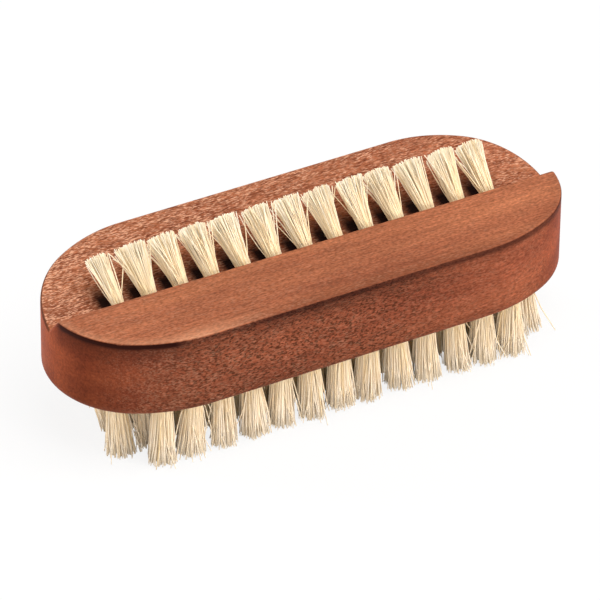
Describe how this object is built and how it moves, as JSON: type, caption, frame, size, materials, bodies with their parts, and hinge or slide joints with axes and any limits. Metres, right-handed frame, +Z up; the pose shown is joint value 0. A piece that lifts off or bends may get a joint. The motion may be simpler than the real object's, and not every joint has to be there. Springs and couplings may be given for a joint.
{
  "type": "nail brush",
  "caption": "Double-sided nail brush: a rounded wooden block with a leaning row of fibre tufts on top for under the nails and upright tufts below for scrubbing.",
  "frame": {"origin": "under the middle of the block, level with the trimmed tips of the scrubbing tufts", "axes": "+X along the handle to the right, +Y from the smooth rail to the rear deck, +Z up through the nail row"},
  "size_m": [0.095, 0.0344, 0.0326],
  "materials": {
    "oiled_wood": "oiled, satin",
    "nail_fibre": "matte plant fibre",
    "scrub_fibre": "matte plant fibre",
    "anchor_wire": "drawn flat wire"
  },
  "bodies": {
    "root": {"handle_block": "oiled_wood", "nail_tuft_01": "nail_fibre", "nail_tuft_02": "nail_fibre", "nail_tuft_03": "nail_fibre", "nail_tuft_04": "nail_fibre", "nail_tuft_05": "nail_fibre", "nail_tuft_06": "nail_fibre", "nail_tuft_07": "nail_fibre", "nail_tuft_08": "nail_fibre", "nail_tuft_09": "nail_fibre", "nail_tuft_10": "nail_fibre", "nail_tuft_11": "nail_fibre", "nail_tuft_12": "nail_fibre", "nail_tuft_13": "nail_fibre", "nail_row_anchors": "anchor_wire", "scrub_tufts_row_1": "scrub_fibre", "scrub_anchors_row_1": "anchor_wire", "scrub_tufts_row_2": "scrub_fibre", "scrub_anchors_row_2": "anchor_wire", "scrub_tufts_row_3": "scrub_fibre", "scrub_anchors_row_3": "anchor_wire", "scrub_tufts_row_4": "scrub_fibre", "scrub_anchors_row_4": "anchor_wire", "scrub_tufts_row_5": "scrub_fibre", "scrub_anchors_row_5": "anchor_wire"}
  },
  "joints": []
}
